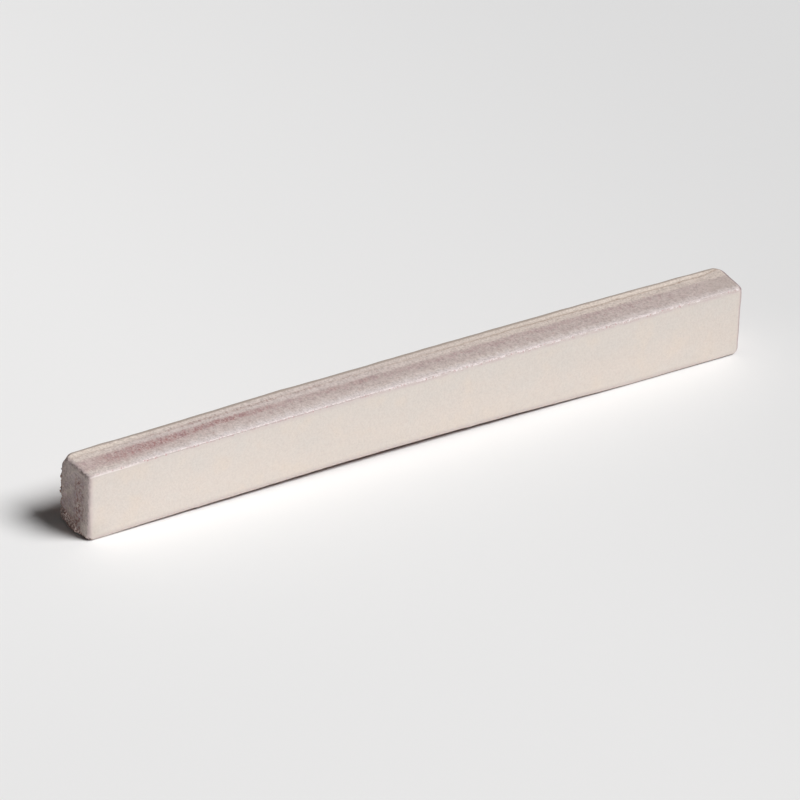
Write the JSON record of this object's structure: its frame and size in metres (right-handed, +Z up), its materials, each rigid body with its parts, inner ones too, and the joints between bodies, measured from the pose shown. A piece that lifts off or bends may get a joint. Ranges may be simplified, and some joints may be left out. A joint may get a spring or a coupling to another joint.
{
  "type": "ceramic molding",
  "caption": "Flat glazed ceramic molding (liner): slim straight bar of red clay, cream glaze on front and top, softened edges and a slight firing warp, standing on its long edge.",
  "frame": {"origin": "middle of the foot, on the surface that the bar stands on (centre of the box's lower face)", "axes": "+X along the bar's length, +Y from the glazed front face towards the back, +Z up"},
  "size_m": [0.1524, 0.0098, 0.0162],
  "materials": {
    "glaze": "satin cream glaze, thin enough on top and along the edges for the red clay to show through; bare clay on the back and underside"
  },
  "bodies": {
    "root": {"molding": "glaze"}
  },
  "joints": []
}
